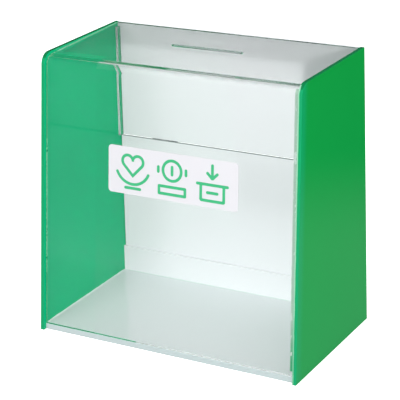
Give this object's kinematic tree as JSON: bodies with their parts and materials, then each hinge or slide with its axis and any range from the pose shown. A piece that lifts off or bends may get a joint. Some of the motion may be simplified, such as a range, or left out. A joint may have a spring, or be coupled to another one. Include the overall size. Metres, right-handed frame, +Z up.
{
  "type": "donation box",
  "caption": "Acrylic donation box: opaque side panels, a bent clear front and top with a coin slot, white floor and back, and a top-hung emptying door at the rear.",
  "frame": {"origin": "middle of the footprint of the side panels, on the resting plane", "axes": "+Z up, -Y towards the sloping clear front, +X to the right seen from the front"},
  "size_m": [0.3, 0.193, 0.3],
  "materials": {
    "green_acrylic": "opaque gloss, polished edges",
    "white_acrylic": "milky gloss",
    "clear_acrylic": "clear gloss",
    "pin_steel": "drawn",
    "label_white": "satin film",
    "label_ink": "screen print"
  },
  "bodies": {
    "box": {"base_panel": "white_acrylic", "left_side_panel": "green_acrylic", "right_side_panel": "green_acrylic", "clear_cover": "clear_acrylic", "back_upper_panel": "white_acrylic", "door_sill": "white_acrylic", "left_corner_batten": "clear_acrylic", "right_corner_batten": "clear_acrylic", "hinge_fixed_leaf_left": "clear_acrylic", "hinge_fixed_leaf_right": "clear_acrylic", "hinge_pin_left": "pin_steel", "hinge_pin_right": "pin_steel", "lock_staple": "clear_acrylic", "label_plate": "label_white", "label_print": "label_ink"},
    "door": {"door_panel": "white_acrylic", "hinge_door_leaf_left": "clear_acrylic", "hinge_door_leaf_right": "clear_acrylic", "door_pull": "clear_acrylic"}
  },
  "joints": [
    {"name": "door_hinge", "type": "hinge", "parent": "box", "child": "door", "pos_m": [0, 0.09375, 0.168], "axis": [1, 0, 0], "range_deg": [0, 165]}
  ]
}
